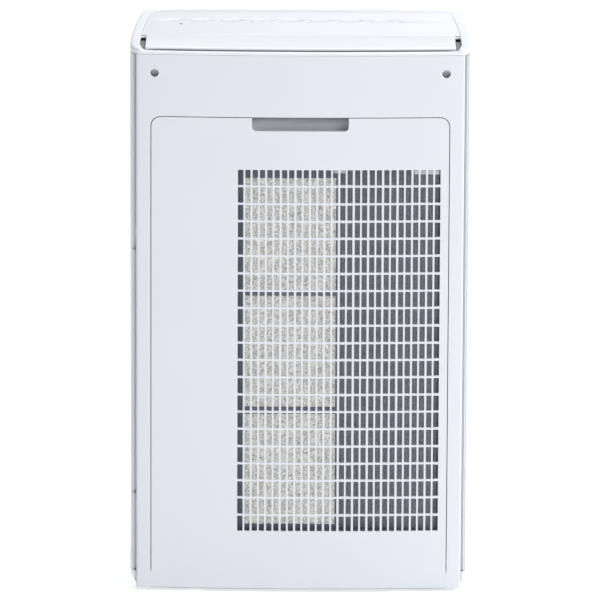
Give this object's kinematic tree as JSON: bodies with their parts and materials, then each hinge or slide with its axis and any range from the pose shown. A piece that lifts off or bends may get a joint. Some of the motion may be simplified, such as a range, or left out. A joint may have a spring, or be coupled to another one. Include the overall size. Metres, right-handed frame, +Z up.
{
  "type": "air purifier",
  "caption": "Free-standing humidifying air purifier: crowned rear cover with a slotted intake grille over its filters, fan, side water drawer, outlet flap and round keys on top.",
  "frame": {"origin": "middle of the footprint, on the floor", "axes": "+Z up; -Y the rear with the intake cover; +Y the front, towards the user; +X to the right when looking at the rear"},
  "size_m": [0.36, 0.23, 0.59],
  "materials": {
    "shell": "fine satin texture",
    "top": "semi-gloss",
    "inner": "moulded",
    "frame": "moulded charcoal",
    "honeycomb": "porous granules in a honeycomb",
    "carbon": "carbon cloth in a mesh",
    "fleece": "stiff fleece",
    "filter_paper": "pleated",
    "wick": "pleated fibre",
    "steel": "plain",
    "board": "lacquered",
    "tank": "clear",
    "cap": "moulded",
    "rubber": "matt",
    "key": "semi-gloss",
    "socket": "moulded"
  },
  "bodies": {
    "housing": {"base_tray": "shell", "foot_rear_left": "rubber", "foot_rear_right": "rubber", "foot_front_left": "rubber", "foot_front_right": "rubber", "side_panel_right": "shell", "side_panel_left_upper": "shell", "front_panel": "shell", "rear_fascia": "shell", "screw_rear_left": "steel", "screw_rear_right": "steel", "filter_cassette": "frame", "honeycomb_block_top": "honeycomb", "honeycomb_block_middle": "honeycomb", "honeycomb_block_bottom": "honeycomb", "carbon_screen": "carbon", "hepa_frame": "fleece", "hepa_pleats": "filter_paper", "filter_bay": "inner", "scroll_housing": "inner", "bulkhead": "inner", "fan_motor": "steel", "outlet_duct": "inner", "outlet_grid": "inner", "top_rim": "top", "control_plate": "top", "control_board": "board", "tank_bay_partition": "inner", "power_board": "board", "mains_inlet": "socket", "dust_sensor": "socket"},
    "rear_cover": {"rear_cover": "shell", "grille_cross_ribs": "shell", "recess_cup": "shell"},
    "flap": {"outlet_flap": "top"},
    "impeller": {"impeller": "inner", "motor_shaft": "steel", "impeller_nut": "cap"},
    "water_drawer": {"tank_body": "tank", "tank_front": "shell", "water_tray": "inner", "tray_front": "shell", "wick_frame": "inner", "wick_filter": "wick"},
    "tank_cap": {"tank_cap": "cap"},
    "key_power": {"key_power": "key"},
    "key_fan_speed": {"key_fan_speed": "key"},
    "key_mode": {"key_mode": "key"},
    "key_humidify": {"key_humidify": "key"},
    "key_ioniser": {"key_ioniser": "key"},
    "key_timer": {"key_timer": "key"},
    "key_child_lock": {"key_child_lock": "key"},
    "key_lights": {"key_lights": "key"}
  },
  "joints": [
    {"name": "cover_tilt", "type": "hinge", "parent": "housing", "child": "rear_cover", "pos_m": [0, -0.115, 0.0085], "axis": [1, 0, 0], "range_deg": [0, 35]},
    {"name": "flap_lift", "type": "hinge", "parent": "housing", "child": "flap", "pos_m": [0, -0.0375, 0.5878], "axis": [-1, 0, 0], "range_deg": [0, 75]},
    {"name": "impeller_spin", "type": "hinge", "parent": "housing", "child": "impeller", "pos_m": [0.04, 0.017, 0.3], "axis": [0, 1, 0], "continuous": true},
    {"name": "water_drawer_slide", "type": "slide", "parent": "housing", "child": "water_drawer", "axis": [-1, 0, 0], "range_m": [0, 0.11]},
    {"name": "tank_cap_turn", "type": "hinge", "parent": "water_drawer", "child": "tank_cap", "pos_m": [-0.136, 0.014, 0.104], "axis": [0, 0, 1], "range_deg": [0, 60]},
    {"name": "key_power_press", "type": "slide", "parent": "housing", "child": "key_power", "axis": [0, 0, -1], "range_m": [0, 0.0006], "stiffness_N_per_m": 800, "springref_m": -0.0008},
    {"name": "key_fan_speed_press", "type": "slide", "parent": "housing", "child": "key_fan_speed", "axis": [0, 0, -1], "range_m": [0, 0.0006], "stiffness_N_per_m": 800, "springref_m": -0.0008},
    {"name": "key_mode_press", "type": "slide", "parent": "housing", "child": "key_mode", "axis": [0, 0, -1], "range_m": [0, 0.0006], "stiffness_N_per_m": 800, "springref_m": -0.0008},
    {"name": "key_humidify_press", "type": "slide", "parent": "housing", "child": "key_humidify", "axis": [0, 0, -1], "range_m": [0, 0.0006], "stiffness_N_per_m": 800, "springref_m": -0.0008},
    {"name": "key_ioniser_press", "type": "slide", "parent": "housing", "child": "key_ioniser", "axis": [0, 0, -1], "range_m": [0, 0.0006], "stiffness_N_per_m": 800, "springref_m": -0.0008},
    {"name": "key_timer_press", "type": "slide", "parent": "housing", "child": "key_timer", "axis": [0, 0, -1], "range_m": [0, 0.0006], "stiffness_N_per_m": 800, "springref_m": -0.0008},
    {"name": "key_child_lock_press", "type": "slide", "parent": "housing", "child": "key_child_lock", "axis": [0, 0, -1], "range_m": [0, 0.0006], "stiffness_N_per_m": 800, "springref_m": -0.0008},
    {"name": "key_lights_press", "type": "slide", "parent": "housing", "child": "key_lights", "axis": [0, 0, -1], "range_m": [0, 0.0006], "stiffness_N_per_m": 800, "springref_m": -0.0008}
  ]
}
